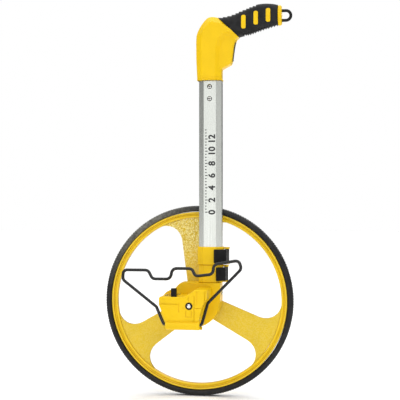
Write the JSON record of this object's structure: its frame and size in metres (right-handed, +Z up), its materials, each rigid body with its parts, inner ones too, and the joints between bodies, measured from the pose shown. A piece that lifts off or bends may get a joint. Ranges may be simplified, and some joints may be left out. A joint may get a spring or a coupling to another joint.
{
  "type": "measuring wheel",
  "caption": "Survey measuring wheel: spoked wheel with rubber tyre, geared drum counter with reset, telescopic pole with clamp levers, fold-down wire stand and angled grip.",
  "frame": {"origin": "where the tyre touches the ground, below the axle, at the middle of the tyre's width", "axes": "+Z up along the pole, +X towards the user, who holds the grip, and +Y along the axle, from the counter to the wheel"},
  "size_m": [0.3185, 0.1198, 0.6486],
  "materials": {
    "yellow_plastic": "moulded, finely textured",
    "wheel_plastic": "moulded, speckled",
    "tyre": "matt rubber with a fine tread",
    "aluminium": "satin anodised",
    "black_plastic": "satin",
    "grip_rubber": "soft, ribbed",
    "bright_steel": "zinc plated",
    "black_steel": "semi-gloss black",
    "white_nylon": "plain moulded",
    "clear_lens": "clear, polished"
  },
  "bodies": {
    "frame": {"bracket": "yellow_plastic", "gear_case_cover": "yellow_plastic", "axle": "bright_steel", "axle_washer": "bright_steel", "axle_nut": "bright_steel", "side_screw": "bright_steel", "counter_body": "yellow_plastic", "counter_cover": "yellow_plastic", "counter_lens": "clear_lens", "counter_screw": "bright_steel", "screw_washer": "black_plastic", "counter_shaft": "bright_steel", "transfer_shaft": "bright_steel", "inner_tube": "aluminium", "inner_tube_guide": "black_plastic"},
    "wheel": {"tyre": "tyre", "wheel_disc": "wheel_plastic", "wheel_bearing_inner": "bright_steel", "wheel_bearing_outer": "bright_steel", "hub_cap": "black_plastic", "drive_gear": "white_nylon"},
    "drum_1": {"counter_gear": "white_nylon", "digit_drum_1": "black_plastic"},
    "drum_2": {"digit_drum_2": "black_plastic"},
    "drum_3": {"digit_drum_3": "black_plastic"},
    "drum_4": {"digit_drum_4": "black_plastic"},
    "drum_5": {"digit_drum_5": "black_plastic"},
    "pinion_1": {"transfer_pinion_1": "white_nylon"},
    "pinion_2": {"transfer_pinion_2": "white_nylon"},
    "pinion_3": {"transfer_pinion_3": "white_nylon"},
    "pinion_4": {"transfer_pinion_4": "white_nylon"},
    "reset": {"reset_button": "black_plastic", "reset_comb": "white_nylon", "reset_spring": "bright_steel"},
    "stand": {"stand_wire": "black_steel"},
    "pole_mid": {"mid_tube": "aluminium", "mid_tube_guide": "black_plastic", "lower_collar": "yellow_plastic", "lower_lever_pin": "bright_steel"},
    "lever_lower": {"lower_lever": "black_plastic"},
    "pole_upper": {"outer_tube": "aluminium", "upper_collar": "yellow_plastic", "upper_lever_pin": "bright_steel", "head_front": "yellow_plastic", "head_rear": "yellow_plastic", "head_spigot": "black_plastic", "head_screw_1": "bright_steel", "head_screw_2": "bright_steel", "head_screw_3": "bright_steel", "pole_screw_1": "bright_steel", "pole_screw_2": "bright_steel", "finger_pad": "black_plastic", "grip_core": "yellow_plastic", "grip_sleeve": "grip_rubber", "end_cap": "yellow_plastic", "hang_loop": "grip_rubber"},
    "lever_upper": {"upper_lever": "black_plastic"}
  },
  "joints": [
    {"name": "wheel_spin", "type": "hinge", "parent": "frame", "child": "wheel", "pos_m": [0, 0, 0.15915], "axis": [0, 1, 0], "continuous": true},
    {"name": "drum_1_turn", "type": "hinge", "parent": "frame", "child": "drum_1", "pos_m": [-0.0336, 0, 0.15915], "axis": [0, 1, 0], "continuous": true},
    {"name": "drum_2_turn", "type": "hinge", "parent": "frame", "child": "drum_2", "pos_m": [-0.0336, 0, 0.15915], "axis": [0, 1, 0], "continuous": true},
    {"name": "drum_3_turn", "type": "hinge", "parent": "frame", "child": "drum_3", "pos_m": [-0.0336, 0, 0.15915], "axis": [0, 1, 0], "continuous": true},
    {"name": "drum_4_turn", "type": "hinge", "parent": "frame", "child": "drum_4", "pos_m": [-0.0336, 0, 0.15915], "axis": [0, 1, 0], "continuous": true},
    {"name": "drum_5_turn", "type": "hinge", "parent": "frame", "child": "drum_5", "pos_m": [-0.0336, 0, 0.15915], "axis": [0, 1, 0], "continuous": true},
    {"name": "pinion_1_turn", "type": "hinge", "parent": "frame", "child": "pinion_1", "pos_m": [-0.0196, 0, 0.15915], "axis": [0, 1, 0], "continuous": true},
    {"name": "pinion_2_turn", "type": "hinge", "parent": "frame", "child": "pinion_2", "pos_m": [-0.0196, 0, 0.15915], "axis": [0, 1, 0], "continuous": true},
    {"name": "pinion_3_turn", "type": "hinge", "parent": "frame", "child": "pinion_3", "pos_m": [-0.0196, 0, 0.15915], "axis": [0, 1, 0], "continuous": true},
    {"name": "pinion_4_turn", "type": "hinge", "parent": "frame", "child": "pinion_4", "pos_m": [-0.0196, 0, 0.15915], "axis": [0, 1, 0], "continuous": true},
    {"name": "reset_press", "type": "slide", "parent": "frame", "child": "reset", "axis": [0, 0, -1], "range_m": [0, 0.004], "stiffness_N_per_m": 500, "springref_m": -0.002, "deforming": ["reset_spring"]},
    {"name": "stand_fold", "type": "hinge", "parent": "frame", "child": "stand", "pos_m": [0, -0.094, 0.129], "axis": [1, 0, 0], "range_deg": [0, 180]},
    {"name": "pole_slide_lower", "type": "slide", "parent": "frame", "child": "pole_mid", "axis": [0, 0, 1], "range_m": [0, 0.18]},
    {"name": "pole_slide_upper", "type": "slide", "parent": "pole_mid", "child": "pole_upper", "axis": [0, 0, 1], "range_m": [0, 0.18]},
    {"name": "lower_lever_flip", "type": "hinge", "parent": "pole_mid", "child": "lever_lower", "pos_m": [0.0494, -0.022, 0.206], "axis": [0, 0, 1], "range_deg": [0, 110]},
    {"name": "upper_lever_flip", "type": "hinge", "parent": "pole_upper", "child": "lever_upper", "pos_m": [0.051, -0.022, 0.236], "axis": [0, 0, 1], "range_deg": [0, 110]}
  ],
  "couplings": [
    {"joint": "drum_1_turn", "follows": "wheel_spin", "ratio": -1},
    {"joint": "drum_2_turn", "follows": "wheel_spin", "ratio": -0.1},
    {"joint": "drum_3_turn", "follows": "wheel_spin", "ratio": -0.01},
    {"joint": "drum_4_turn", "follows": "wheel_spin", "ratio": -0.001},
    {"joint": "drum_5_turn", "follows": "wheel_spin", "ratio": -0.0001},
    {"joint": "pinion_1_turn", "follows": "wheel_spin", "ratio": 0.25},
    {"joint": "pinion_2_turn", "follows": "wheel_spin", "ratio": 0.025},
    {"joint": "pinion_3_turn", "follows": "wheel_spin", "ratio": 0.0025},
    {"joint": "pinion_4_turn", "follows": "wheel_spin", "ratio": 0.00025}
  ]
}
